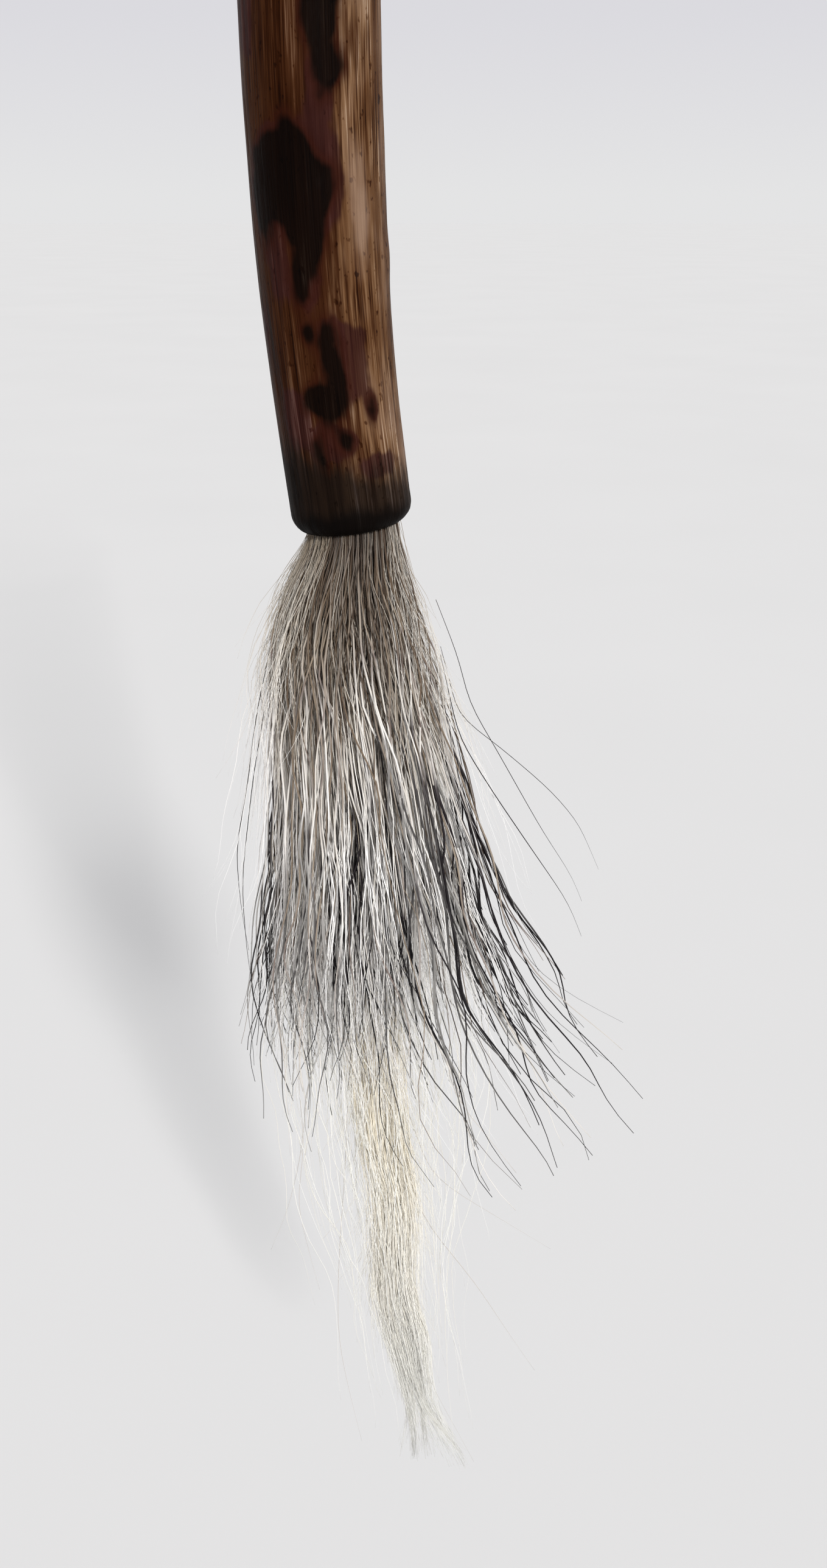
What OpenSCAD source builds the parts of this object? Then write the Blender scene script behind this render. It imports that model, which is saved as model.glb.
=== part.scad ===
// Long-haired calligraphy brush with a bent culm handle, hanging tip down.
// The origin is the centre of the hanging hole, +Z is up and the handle bends in the XZ plane.

/* [Handle] */
// Diameter of the culm at the grip
handle_d = 13.8; // [12:0.2:18]
// Length of culm above the centre of the hanging hole
tail_len = 9; // [7:0.5:14]
// Length of the straight stretch below the hanging hole
straight_len = 157; // [130:1:190]
// Radius of the bend, to the centre line
bend_r = 340; // [250:5:600]
// Angle that the handle turns through at the bend
bend_deg = 7; // [4:0.5:12]
// Length of the straight end below the bend
mouth_len = 8; // [8:0.5:16]
// Diameter of the straight end, slimmer where it is charred
mouth_d = 13.4; // [13.2:0.1:13.7]
// Rounding of the charred rim around the mouth
mouth_round = 2; // [1:0.1:2.1]
// Rounding of the tail end
tail_round = 3; // [1:0.25:4]
// Diameter of the cross hole for a hanging loop
hang_hole_d = 3; // [2:0.25:4]

/* [Culm] */
// Height of each joint ring of the culm, measured from the hanging hole
ring_z = [-8, -110];
// How far a ring stands out from the culm
ring_swell = 0.7; // [0.2:0.1:1.2]
// Depth of the sheath scar below each ring
scar_depth = 0.25; // [0.1:0.05:0.4]
// Diameter of the hollow inside the culm
hollow_d = 6.8; // [4:0.2:8]
// Thickness of the wall that closes the hollow at each ring
diaphragm = 4; // [3:0.5:6]

/* [Socket] */
// Diameter of the bore that holds the hair
socket_d = 9.2; // [8.8:0.1:9.8]
// Depth of the bore
socket_depth = 24; // [22:0.5:30]
// Diameter of the bound butt of the hair bundle
butt_d = 8; // [7:0.1:8]
// Length of the bound butt inside the bore
butt_len = 20; // [16:0.5:20]
// Thickness of the resin that seals the butt
seal_len = 2.6; // [1.5:0.1:3]
// Diameter of the binding thread
thread_d = 0.4; // [0.3:0.05:0.5]
// Turns of thread in each of the two bands
thread_turns = 10; // [6:1:12]
// Distance from the mouth to the lower end of the glue
glue_inset = 2.5; // [1:0.5:4]

/* [Hair] */
// Length of the central hair from the mouth to its tip
hair_len = 136; // [120:1:150]
// Diameter of the central hair at its neck
neck_d = 6.6; // [5:0.1:7]
// Diameter of the central hair at its belly
belly_d = 10; // [8:0.1:12]
// Diameter of the central hair where its free tip begins
shank_d = 8.6; // [7:0.1:9]
// Length of the outer coat of guard hair
guard_len = 70; // [60:1:72]
// Diameter of the outer coat at its widest
guard_d = 29; // [24:0.5:34]
// How far the ends of the guard hair sweep to one side
guard_sweep = 13; // [0:0.5:16]
// Number of locks around the hem of the outer coat
locks = 12; // [8:1:16]
// Length of the woolly hair under the coat
under_len = 46; // [30:1:50]

/* [Flex] */
// Distance from the mouth to the point where the whole tuft bends
root_flex_drop = 3; // [2.5:0.1:4]
// Distance from the mouth to the point where the free tip bends
tip_flex_drop = 72; // [72:0.5:80]
// Lean of the tuft between the two bending points
tuft_lean = 1.55; // [0:0.05:4]
// Lean of the free tip
tip_lean = 6.2; // [0:0.1:10]
// Gap between hair that bends and hair that stays
flex_gap = 0.4; // [0.3:0.05:0.6]

/* [Hidden] */
$fn = 72;

handle_r = handle_d / 2;
hollow_r = hollow_d / 2;
socket_r = socket_d / 2;
butt_r = butt_d / 2;
glue_r = butt_r + thread_d;
ring_half = 2.6;
band_gap = 3;
arc_steps = 8;
end_overlap = 0.5;

mouth_x = bend_r * (1 - cos(bend_deg)) + mouth_len * sin(bend_deg);
mouth_z = -straight_len - bend_r * sin(bend_deg) - mouth_len * cos(bend_deg);

// Bending points, and the tip's own length
root_flex = [mouth_x + root_flex_drop * sin(bend_deg), mouth_z - root_flex_drop * cos(bend_deg)];
shank_len = (tip_flex_drop - root_flex_drop) / cos(tuft_lean);
tip_len = (hair_len - tip_flex_drop) / cos(tip_lean);

// Outer coat: rings, sides and how its wall thins towards the hem
coat_rings = 16;
coat_sides = 60;
coat_top = 1.2;
coat_len = guard_len - root_flex_drop;
coat_wall_top = 0.9;
coat_wall_hem = 0.5;
longest_lock = 1.03 * coat_len;

// Under hair: where it starts, and its gaps to the coat and to the neck
under_top = 8.5;
under_inset = 1.9;
neck_clear = 1;

// Quarter circle of points about c, from angle a to angle b
function arc(c, r, a, b) =
    [for (i = [0:arc_steps]) let(t = a + (b - a) * i / arc_steps) [c[0] + r * cos(t), c[1] + r * sin(t)]];

// Swelling of a culm ring, widest at its middle
function ring(z) = concat(
    [[handle_r, z - ring_half - 1], [handle_r - scar_depth, z - ring_half]],
    [for (i = [-3:3]) [handle_r + ring_swell * pow(cos(i * 30), 2), z + ring_half * i / 3]],
    [[handle_r, z + ring_half + 0.6]]);

// Radius of the outer coat, t running from its neck (0) to its hem (1)
function coat_r(t) = 4.4 + (guard_d / 2 - 4.4) * pow(sin(90 * pow(t, 0.82)), 1.1);

// How long the coat is at an angle round the brush: long locks with short hair between
function coat_drop(a) = coat_len * (0.9 + 0.1 * cos(locks * a + 20 * cos(3 * a)) * (1 - 0.3 * cos(2 * a)));

// Fluting that divides the coat into locks towards the hem
function coat_flute(a, t) = 1 + 0.07 * t * t * cos(locks * a + 20 * cos(3 * a));

// One point of the coat's skin, inset from the outer surface
function coat_point(a, t, inset) =
    let(r = (coat_r(t) - inset) * coat_flute(a, t),
        sweep = guard_sweep * pow(t, 3) * (0.55 + 0.45 * cos(a)))
    [r * cos(a) + sweep, r * sin(a), -coat_top - (coat_drop(a) - coat_top) * t];

// Places what follows at the mouth, with -Z running out of it along the hair
module at_mouth() {
    translate([mouth_x, 0, mouth_z]) rotate([0, -bend_deg, 0]) children();
}

// Places what follows at the root bending point, with -Z along the tuft
module at_root_flex() {
    translate([root_flex[0], 0, root_flex[1]]) rotate([0, -tuft_lean, 0]) children();
}

// Places what follows at the tip bending point, with -Z along the free tip
module at_tip_flex() {
    at_root_flex() translate([0, 0, -shank_len]) rotate([0, tuft_lean - tip_lean, 0]) children();
}

// Places a flat section round the bend
module round_the_bend() {
    translate([bend_r, 0, -straight_len]) rotate([90, 180, 0])
        rotate_extrude(angle = bend_deg, $fn = 360) translate([bend_r, 0]) children();
}

// Straight upper culm with its joint rings and rounded tail
module upper_culm() {
    rotate_extrude() polygon(concat(
        [[0, -straight_len], [handle_r, -straight_len]],
        ring(ring_z[1]),
        ring(ring_z[0]),
        arc([handle_r - tail_round, tail_len - tail_round], tail_round, 0, 90),
        [[0, tail_len]]));
}

// Straight lower end with its rounded rim
module mouth_end() {
    r = mouth_d / 2;
    top = mouth_len + end_overlap;
    at_mouth() rotate_extrude() polygon(concat(
        [[0, 0]],
        arc([r - mouth_round, mouth_round], mouth_round, -90, 0),
        [[r, top], [0, top]]));
}

// Hollow of one length of culm between two diaphragms
module hollow(z_low, z_high) {
    translate([0, 0, z_low]) cylinder(r = hollow_r, h = z_high - z_low);
}

module bamboo_handle() {
    color("saddlebrown") difference() {
        union() {
            upper_culm();
            round_the_bend() circle(handle_r);
            mouth_end();
        }
        at_mouth() translate([0, 0, -1]) cylinder(d = socket_d, h = socket_depth + 1);
        round_the_bend() circle(hollow_r);
        hollow(-straight_len, ring_z[1] - diaphragm / 2);
        hollow(ring_z[1] + diaphragm / 2, ring_z[0] - diaphragm / 2);
        rotate([90, 0, 0]) cylinder(d = hang_hole_d, h = 2 * handle_d, center = true);
    }
}

// Sleeve of glue between the bound butt and the bore
module socket_glue() {
    color("goldenrod") at_mouth() translate([0, 0, glue_inset]) difference() {
        cylinder(r = socket_r, h = butt_len - glue_inset);
        translate([0, 0, -1]) cylinder(r = glue_r, h = butt_len + 2);
    }
}

// Resin melted over the cut ends of the hair
module root_seal() {
    color("sienna") at_mouth() translate([0, 0, butt_len]) rotate_extrude() polygon(concat(
        [[0, 0], [butt_r, 0]],
        arc([butt_r - seal_len / 2, seal_len / 2], seal_len / 2, 0, 90),
        [[0, seal_len]]));
}

// One band of thread wound round the butt, each turn lying against the last
module thread_band(z) {
    turn = thread_d;
    translate([0, 0, z]) rotate_extrude() polygon(concat(
        [[butt_r, 0]],
        [for (n = [0:thread_turns - 1], i = [0:4])
            [butt_r + thread_d * (0.5 + 0.5 * sin(180 * i / 4)), turn * (n + i / 4)]],
        [[butt_r, turn * thread_turns]]));
}

module root_binding() {
    color("firebrick") at_mouth() {
        band_len = thread_d * thread_turns;
        thread_band(butt_len - 1 - band_len);
        thread_band(butt_len - 1 - 2 * band_len - band_gap);
    }
}

// Butt of the hair bundle, held in the socket
module bundle_root() {
    color("tan") difference() {
        at_mouth() cylinder(r = butt_r, h = butt_len);
        at_root_flex() sphere(r = neck_d / 2 + flex_gap);
    }
}

// Central hair between the two bending points
module core_belly() {
    neck_r = neck_d / 2;
    belly_r = belly_d / 2;
    shank_r = shank_d / 2;
    rim_z = -shank_len + 2;
    color("ivory") at_root_flex() difference() {
        rotate_extrude() polygon(concat(
            [[0, rim_z], [shank_r, rim_z]],
            [for (i = [1:11]) let(t = i / 12)
                [shank_r + (neck_r - shank_r) * pow(t, 4) + (belly_r - shank_r) * sin(180 * t),
                 rim_z * (1 - t)]],
            arc([0, 0], neck_r, 0, 90)));
        translate([0, 0, -shank_len]) sphere(r = shank_r + flex_gap);
    }
}

// Short woolly hair that fills the coat, kept clear of the coat and of the central hair
module under_coat() {
    top_r = neck_d / 2 + neck_clear;
    low_r = belly_d / 2 + 0.3;
    color("lightgray") at_root_flex() rotate_extrude() polygon(concat(
        [[top_r, -under_top]],
        [for (i = [0:8]) let(z = under_top + (under_len - under_top) * i / 8)
            [coat_r((z - coat_top) / (longest_lock - coat_top)) - under_inset, -z]],
        [[low_r, -under_len * 0.9], [low_r, -20]]));
}

// Outer coat of long guard hair, a thin bell divided into locks at its hem
module guard_coat() {
    outer = [for (i = [0:coat_rings]) let(t = i / coat_rings)
        [for (j = [0:coat_sides - 1]) coat_point(360 * j / coat_sides, t, 0)]];
    inner = [for (i = [coat_rings:-1:0])
        let(t = i / coat_rings, wall = coat_wall_top + (coat_wall_hem - coat_wall_top) * t)
        [for (j = [0:coat_sides - 1]) coat_point(360 * j / coat_sides, t, wall)]];
    rings = concat(outer, inner);
    count = len(rings);
    color("dimgray") at_root_flex() polyhedron(
        points = [for (row = rings) each row],
        faces = [for (i = [0:count - 1], j = [0:coat_sides - 1])
            let(a = i * coat_sides + j,
                b = i * coat_sides + (j + 1) % coat_sides,
                c = ((i + 1) % count) * coat_sides + (j + 1) % coat_sides,
                d = ((i + 1) % count) * coat_sides + j)
            each [[a, b, c], [a, c, d]]]);
}

// Free end of the central hair
module core_tip() {
    tip_r = shank_d / 2;
    color("cornsilk") at_tip_flex() rotate_extrude() polygon(concat(
        [[0, -tip_len], [0.5, -tip_len + 0.6]],
        [for (i = [1:10]) let(t = 1 - i / 11) [tip_r * pow(1 - t, 0.85) + 0.5 * t, -tip_len * t]],
        arc([0, 0], tip_r, 0, 90)));
}

bamboo_handle();
socket_glue();
root_seal();
root_binding();
bundle_root();
core_belly();
under_coat();
guard_coat();
core_tip();
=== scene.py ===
"""Looks of the calligraphy brush: a mottled bamboo handle and a tuft made of separate hairs."""
import math

import bpy
import numpy as np
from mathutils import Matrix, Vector


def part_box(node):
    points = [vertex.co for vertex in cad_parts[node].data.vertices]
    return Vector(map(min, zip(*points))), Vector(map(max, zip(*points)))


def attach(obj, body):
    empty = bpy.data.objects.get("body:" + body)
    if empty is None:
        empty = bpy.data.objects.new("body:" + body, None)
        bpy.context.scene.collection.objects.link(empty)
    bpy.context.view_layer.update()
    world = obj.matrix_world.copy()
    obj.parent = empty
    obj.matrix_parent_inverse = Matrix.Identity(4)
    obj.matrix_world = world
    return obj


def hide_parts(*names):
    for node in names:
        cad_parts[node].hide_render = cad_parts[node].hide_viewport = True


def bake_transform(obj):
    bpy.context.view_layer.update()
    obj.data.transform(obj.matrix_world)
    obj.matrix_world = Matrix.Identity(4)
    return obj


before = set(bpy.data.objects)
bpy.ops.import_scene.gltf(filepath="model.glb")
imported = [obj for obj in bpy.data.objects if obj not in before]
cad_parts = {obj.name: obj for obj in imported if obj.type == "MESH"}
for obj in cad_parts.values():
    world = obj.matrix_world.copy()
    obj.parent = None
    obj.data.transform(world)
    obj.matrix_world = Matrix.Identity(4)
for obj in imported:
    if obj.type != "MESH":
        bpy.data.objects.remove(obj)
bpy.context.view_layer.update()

MM = 0.001
UV_LAYER = "OFBake"

# ---------------- the frame
# Driving dimensions of the handle, in mm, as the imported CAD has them
CULM_R = 6.9
MOUTH_R = 6.5
MOUTH_ROUND = 2.2
TAIL_ROUND = 3.0
STRAIGHT = 157.0
BEND_R = 340.0
BEND = math.radians(7.0)
MOUTH_LEN = 8.0
SOCKET_R = 4.6
SOCKET_DEPTH = 24.0
HOLLOW_R = 3.4
HANG_HOLE_R = 1.5
RING_Z = (-8.0, -110.0)
DIAPHRAGM_HALF = 2.0

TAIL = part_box("bamboo_handle")[1].z / MM
BEND_START = TAIL + STRAIGHT
BEND_END = BEND_START + BEND_R * BEND
CULM_LEN = BEND_END + MOUTH_LEN

MOUTH = np.array([
    BEND_R * (1 - math.cos(BEND)) + MOUTH_LEN * math.sin(BEND),
    0.0,
    -STRAIGHT - BEND_R * math.sin(BEND) - MOUTH_LEN * math.cos(BEND),
])
TIP_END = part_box("core_tip")[0].z / MM
HAIR_LEN = MOUTH[2] - TIP_END


def along_culm(u):
    """Centre line of the handle at u mm from the tail: position and direction, in the XZ plane."""
    u = np.asarray(u, float)
    angle = np.clip((u - BEND_START) / BEND_R, 0, BEND)
    past = np.clip(u - BEND_END, 0, None)
    x = BEND_R * (1 - np.cos(angle)) + past * np.sin(angle)
    z = TAIL - np.minimum(u, BEND_START) - BEND_R * np.sin(angle) - past * np.cos(angle)
    return x, z, angle


# ---------------- shared helpers
def smooth(x, low, high):
    """0 below low, 1 above high, and a smooth rise between."""
    t = np.clip((x - low) / (high - low), 0, 1)
    return t * t * (3 - 2 * t)


def value_noise(p, seed):
    """Smooth noise from -1 to 1 at points p, one feature per unit, from a hash of each cell's corners."""
    base = np.floor(p).astype(np.int64)
    f = p - base
    f = f * f * (3 - 2 * f)
    total = np.zeros(p.shape[:-1])
    for corner in np.ndindex(2, 2, 2):
        c = base + corner
        h = c[..., 0] * 374761393 + c[..., 1] * 668265263 + c[..., 2] * 2147483647 + seed * 1274126177
        h = (h ^ (h >> 13)) * 1103515245 & 0x7FFFFFFF
        h = (h ^ (h >> 16)) & 0xFFFF
        weight = np.prod(np.where(corner, f, 1 - f), axis=-1)
        total += weight * (h / 32767.5 - 1)
    return total


def fbm(p, seed, octaves=3):
    """Noise with finer detail added on top."""
    return sum(value_noise(p * 2 ** i, seed + i) / 2 ** i for i in range(octaves))


def add_object(name, data):
    """A new object in the scene."""
    ob = bpy.data.objects.new(name, data)
    bpy.context.scene.collection.objects.link(ob)
    return ob


def build_mesh(name, verts, faces, uv=None):
    """A smooth-shaded mesh object from arrays in mm. Faces are (n, 4): a triangle repeats its last corner."""
    me = bpy.data.meshes.new(name)
    tri = faces[:, 2] == faces[:, 3]
    sizes = np.where(tri, 3, 4)
    starts = np.concatenate([[0], np.cumsum(sizes)[:-1]])
    keep = np.ones(faces.shape, bool)
    keep[tri, 3] = False
    me.vertices.add(len(verts))
    me.vertices.foreach_set("co", (verts * MM).astype(np.float32).ravel())
    me.loops.add(int(sizes.sum()))
    me.loops.foreach_set("vertex_index", faces[keep].astype(np.int32))
    me.polygons.add(len(faces))
    me.polygons.foreach_set("loop_start", starts.astype(np.int32))
    if uv is not None:
        layer = me.uv_layers.new(name=UV_LAYER)
        layer.data.foreach_set("uv", uv[keep].astype(np.float32).ravel())
    me.update(calc_edges=True)
    me.validate()
    me.shade_smooth()
    return add_object(name, me)


def tube_faces(rows, sides):
    """The numbers of a tube's points, row by row, those of the points beside them, and its faces."""
    ids = np.arange(rows * sides).reshape(rows, sides)
    beside = np.roll(ids, -1, 1)
    return ids, beside, np.stack([ids[:-1], ids[1:], beside[1:], beside[:-1]], -1).reshape(-1, 4)


def tube_uv(across, down):
    """UV of every corner of a tube's faces, for places across (one more than its sides) and down."""
    corners = np.stack(np.meshgrid(across, down), -1)
    faces = [corners[:-1, :-1], corners[1:, :-1], corners[1:, 1:], corners[:-1, 1:]]
    return np.stack(faces, -2).reshape(-1, 4, 2)


def turn_between(angle, degrees):
    """The turn from a direction in degrees to an angle in radians, from -pi to pi."""
    return (angle - math.radians(degrees) + np.pi) % (2 * np.pi) - np.pi


def add_field(ob, name, values):
    """A number or a vector for each vertex, which the material reads."""
    kind, key = ("FLOAT_VECTOR", "vector") if values.ndim == 2 else ("FLOAT", "value")
    field = ob.data.attributes.new(name, kind, "POINT")
    field.data.foreach_set(key, values.astype(np.float32).ravel())


# ---------------- materials
class Nodes:
    """The nodes of a material or of the sky, with one short call for each kind of node."""

    def __init__(self, owner):
        owner.use_nodes = True
        self.owner = owner
        self.tree = owner.node_tree

    def put(self, value, socket):
        if isinstance(value, bpy.types.NodeSocket):
            self.tree.links.new(value, socket)
        else:
            socket.default_value = value

    def add(self, kind, **settings):
        node = self.tree.nodes.new("ShaderNode" + kind)
        for key, value in settings.items():
            setattr(node, key, value)
        return node

    def field(self, name, vector=False):
        return self.add("Attribute", attribute_name=name).outputs["Vector" if vector else "Fac"]

    def math(self, operation, a, b, clamp=False):
        node = self.add("Math", operation=operation, use_clamp=clamp)
        self.put(a, node.inputs[0])
        self.put(b, node.inputs[1])
        return node.outputs[0]

    def plus(self, a, b, clamp=False):
        return self.math("ADD", a, b, clamp)

    def minus(self, a, b):
        return self.math("SUBTRACT", a, b)

    def times(self, a, b):
        return self.math("MULTIPLY", a, b)

    def noise(self, vector, scale, detail, roughness=0.55):
        stretched = self.add("VectorMath", operation="MULTIPLY")
        self.put(vector, stretched.inputs[0])
        stretched.inputs[1].default_value = scale
        node = self.add("TexNoise")
        self.put(stretched.outputs[0], node.inputs["Vector"])
        node.inputs["Scale"].default_value = 1.0
        node.inputs["Detail"].default_value = detail
        node.inputs["Roughness"].default_value = roughness
        return node.outputs[0]

    def ramp(self, value, stops):
        node = self.add("ValToRGB")
        self.put(value, node.inputs[0])
        points = node.color_ramp.elements
        while len(points) < len(stops):
            points.new(0.5)
        for point, (place, colour) in zip(points, stops):
            point.position = place
            point.color = (*colour, 1)
        return node.outputs[0]

    def mix(self, factor, a, b, blend="MIX"):
        node = self.add("Mix", data_type="RGBA", blend_type=blend)
        self.put(factor, node.inputs[0])
        self.put(a if not isinstance(a, tuple) else (*a, 1), node.inputs[6])
        self.put(b if not isinstance(b, tuple) else (*b, 1), node.inputs[7])
        return node.outputs[2]

    def step(self, value, low, high):
        node = self.add("MapRange", interpolation_type="SMOOTHSTEP")
        self.put(value, node.inputs[0])
        node.inputs[1].default_value = low
        node.inputs[2].default_value = high
        return node.outputs[0]

    def bump(self, height, depth, strength, normal=None):
        node = self.add("Bump")
        self.put(height, node.inputs["Height"])
        node.inputs["Distance"].default_value = depth
        node.inputs["Strength"].default_value = strength
        if normal is not None:
            self.put(normal, node.inputs["Normal"])
        return node.outputs[0]

    def finish(self, colour, roughness, normal=None, **constants):
        """The material, once its surface has its colour, roughness, normal and other values."""
        surface = next(node for node in self.tree.nodes if node.type == "BSDF_PRINCIPLED").inputs
        self.put(colour, surface["Base Color"])
        self.put(roughness, surface["Roughness"])
        if normal is not None:
            self.put(normal, surface["Normal"])
        for name, value in constants.items():
            surface[name.replace("_", " ")].default_value = value
        return self.owner


def new_material(name):
    """The nodes of a new material."""
    return Nodes(bpy.data.materials.new(name))


def bamboo_grain(n, culm):
    """Coarse fibre, fine fibre and soft clouds of the skin, and the grain that they make together."""
    fibre = n.noise(culm, (1.3, 1.3, 0.045), 5, 0.62)
    fine = n.noise(culm, (5.5, 5.5, 0.11), 3, 0.6)
    cloud = n.noise(culm, (0.22, 0.22, 0.07), 3)
    patch = n.step(n.noise(culm, (0.3, 0.3, 0.12), 2), 0.38, 0.62)
    grain = n.plus(n.times(fibre, 0.5), n.times(fine, 0.5))
    vivid = n.plus(n.times(patch, 0.75), 0.45)
    grain = n.plus(n.times(n.minus(grain, 0.5), vivid), 0.5)
    grain = n.plus(grain, n.times(n.minus(cloud, 0.5), 0.3))
    speck = n.noise(culm, (1.6, 1.6, 0.9), 2)
    grain = n.minus(grain, n.times(n.step(speck, 0.62, 0.72), 0.1))
    return fibre, fine, cloud, grain


def bamboo_skin(n, grain, cloud, ragged):
    """Golden fibres on the clean side, smoky brown on the other, and a paler bloom towards +X that is partly
    wear and partly painted highlight on the lit flank.
    """
    # The palest stops of the golden and smoky ramps give light fibre streaks, which are partly the grain and
    # partly painted highlights
    golden = n.ramp(grain, [
        (0.36, (0.012, 0.003, 0.0008)), (0.43, (0.05, 0.018, 0.006)), (0.5, (0.112, 0.053, 0.023)),
        (0.58, (0.2, 0.115, 0.062)), (0.66, (0.42, 0.31, 0.225))])
    smoky = n.ramp(grain, [
        (0.36, (0.008, 0.0016, 0.0002)), (0.46, (0.021, 0.0052, 0.001)),
        (0.56, (0.046, 0.0155, 0.0052)), (0.68, (0.12, 0.062, 0.034))])
    gold = n.step(n.plus(n.field("gold"), n.times(ragged, 1.1)), 0.32, 0.72)
    colour = n.mix(gold, smoky, golden)
    # Paler towards +X, where the light falls: partly wear and partly a painted highlight
    wear_and_highlight = n.times(n.step(n.field("gold"), 0.55, 1.15), n.step(cloud, 0.42, 0.62))
    return n.mix(n.times(wear_and_highlight, 0.5), colour, (0.265, 0.18, 0.135))


def bamboo_blotches(n, colour, grain, blob, ragged):
    """Wine-brown halos, and blotches with a dark brown edge and a black middle, over a colour."""
    maroon = n.plus(n.field("maroon"), n.times(blob, 2.2))
    maroon = n.step(n.plus(maroon, n.times(ragged, 0.8)), -0.25, 0.35)
    wine = n.ramp(grain, [
        (0.38, (0.014, 0.0028, 0.0024)), (0.55, (0.034, 0.0098, 0.0084)), (0.68, (0.085, 0.042, 0.038))])
    colour = n.mix(n.times(maroon, 0.85), colour, wine)
    inside = n.plus(n.field("stain"), n.times(blob, 1.6))
    inside = n.plus(inside, n.times(ragged, 0.35))
    edge = n.times(n.step(inside, -0.95, -0.05), 0.72)
    colour = n.mix(edge, colour, (0.024, 0.0046, 0.0018))
    stain = n.step(inside, -0.3, 0.36)
    black = n.ramp(grain, [
        (0.38, (0.0012, 0.0004, 0.0002)), (0.58, (0.0045, 0.0016, 0.0007)), (0.7, (0.014, 0.009, 0.006))])
    return n.mix(n.times(stain, 0.985), colour, black)


def bamboo_char(n, colour, grain, blob, ragged):
    """The charred mouth with soot in its end, over a colour: returns how charred it is, and the colour."""
    char = n.plus(n.field("char"), n.times(ragged, 1.4))
    char = n.step(n.plus(char, n.times(blob, 1.2)), -0.5, 0.8)
    burnt = n.ramp(grain, [
        (0.36, (0.003, 0.0014, 0.0008)), (0.52, (0.0085, 0.005, 0.0032)),
        (0.62, (0.013, 0.0085, 0.0075)), (0.72, (0.045, 0.034, 0.032))])
    colour = n.mix(n.times(char, 0.95), colour, burnt)
    soot = n.step(n.plus(n.field("soot"), n.times(blob, 0.6)), 0.25, 0.85)
    return char, n.mix(n.times(soot, 0.9), colour, (0.0018, 0.0012, 0.001))


def bamboo_material():
    """Smoked bamboo: golden fibres, brown skin, maroon halos, black blotches and a charred mouth."""
    n = new_material("smoked_bamboo")
    culm = n.field("culm", vector=True)
    fibre, fine, cloud, grain = bamboo_grain(n, culm)
    blob = n.minus(n.noise(culm, (0.55, 0.55, 0.32), 2, 0.4), 0.5)
    ragged = n.minus(n.noise(culm, (2.2, 2.2, 0.14), 3), 0.5)
    colour = bamboo_skin(n, grain, cloud, ragged)
    colour = bamboo_blotches(n, colour, grain, blob, ragged)
    char, colour = bamboo_char(n, colour, grain, blob, ragged)
    roughness = n.plus(n.times(fine, 0.35), 0.24)
    roughness = n.plus(roughness, n.times(char, 0.12), clamp=True)
    normal = n.bump(fine, 0.00009, 0.75)
    normal = n.bump(fibre, 0.00022, 0.6, normal)
    return n.finish(colour, roughness, normal, IOR=1.22, Specular_IOR_Level=0.1)


def hair_material(name, stops, light, dark, roughness=0.36, shine=0.25):
    """Hair whose UV holds its place in the stops across, and the hair's own tone upward.

    Light is screened over the hairs of a high tone, and those of a low tone are multiplied by dark.
    """
    n = new_material(name)
    uv = n.add("UVMap", uv_map=UV_LAYER).outputs[0]
    split = n.add("SeparateXYZ")
    n.put(uv, split.inputs[0])
    body = n.ramp(split.outputs[0], stops)
    streak = n.noise(uv, (5.0, 260.0, 1.0), 2)
    tone = n.plus(split.outputs[1], n.times(n.minus(streak, 0.5), 0.35))
    free = n.step(split.outputs[0], 0.02, 0.42)
    lift = n.times(n.step(tone, 0.45, 1.0), n.plus(n.times(free, 0.8), 0.2))
    fall = n.times(n.step(tone, 0.5, 0.0), n.plus(n.times(free, 0.35), 0.65))
    body = n.mix(lift, body, light, "SCREEN")
    body = n.mix(fall, body, dark, "MULTIPLY")
    rough = n.plus(n.times(streak, 0.25), roughness - 0.12)
    return n.finish(body, rough, Specular_IOR_Level=shine)


def inner_material(name, scale, stops, roughness, depth, **constants):
    """A material for a part inside the socket: scale is features per mm in X, Y and Z."""
    n = new_material(name)
    coord = n.add("TexCoord").outputs["Object"]
    coarse = n.noise(coord, tuple(1000 * s for s in scale), 4)
    fine = n.noise(coord, tuple(4000 * s for s in scale), 3)
    mixed = n.plus(n.times(coarse, 0.65), n.times(fine, 0.35))
    rough = n.plus(n.times(fine, 0.4), roughness - 0.2, clamp=True)
    return n.finish(n.ramp(mixed, stops), rough, n.bump(mixed, depth, 0.8), **constants)


def glue_material():
    """Amber glue round the bound butt."""
    stops = [(0.36, (0.3, 0.15, 0.035)), (0.52, (0.48, 0.29, 0.09)), (0.66, (0.66, 0.47, 0.21))]
    return inner_material("amber_glue", (0.5, 0.5, 0.3), stops, 0.28, 0.0001,
                          Coat_Weight=0.4, Coat_Roughness=0.15)


def resin_material():
    """Dark resin melted over the cut ends of the hair."""
    stops = [(0.36, (0.035, 0.012, 0.006)), (0.52, (0.1, 0.036, 0.014)), (0.66, (0.22, 0.1, 0.04))]
    return inner_material("melted_resin", (0.7, 0.7, 0.7), stops, 0.34, 0.0002,
                          Coat_Weight=0.5, Coat_Roughness=0.2)


def thread_material():
    """Waxed thread, finer up and down than round the butt."""
    stops = [(0.36, (0.36, 0.26, 0.15)), (0.5, (0.56, 0.44, 0.29)), (0.66, (0.72, 0.6, 0.44))]
    return inner_material("waxed_thread", (1.2, 1.2, 3.5), stops, 0.7, 0.00006, Sheen_Weight=0.2)


def butt_material():
    """Packed hair, with its grain along the brush."""
    stops = [(0.34, (0.07, 0.045, 0.03)), (0.5, (0.27, 0.21, 0.15)), (0.66, (0.58, 0.52, 0.43))]
    return inner_material("packed_hair", (4.0, 4.0, 0.12), stops, 0.7, 0.00008, Sheen_Weight=0.1)


def dress_inner_parts():
    """Materials for the parts hidden in the socket, which keep their CAD shapes."""
    looks = {
        "socket_glue": glue_material,
        "root_seal": resin_material,
        "root_binding": thread_material,
        "bundle_root": butt_material,
    }
    for node, material in looks.items():
        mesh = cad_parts[node].data
        mesh.materials.clear()
        mesh.materials.append(material())


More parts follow.
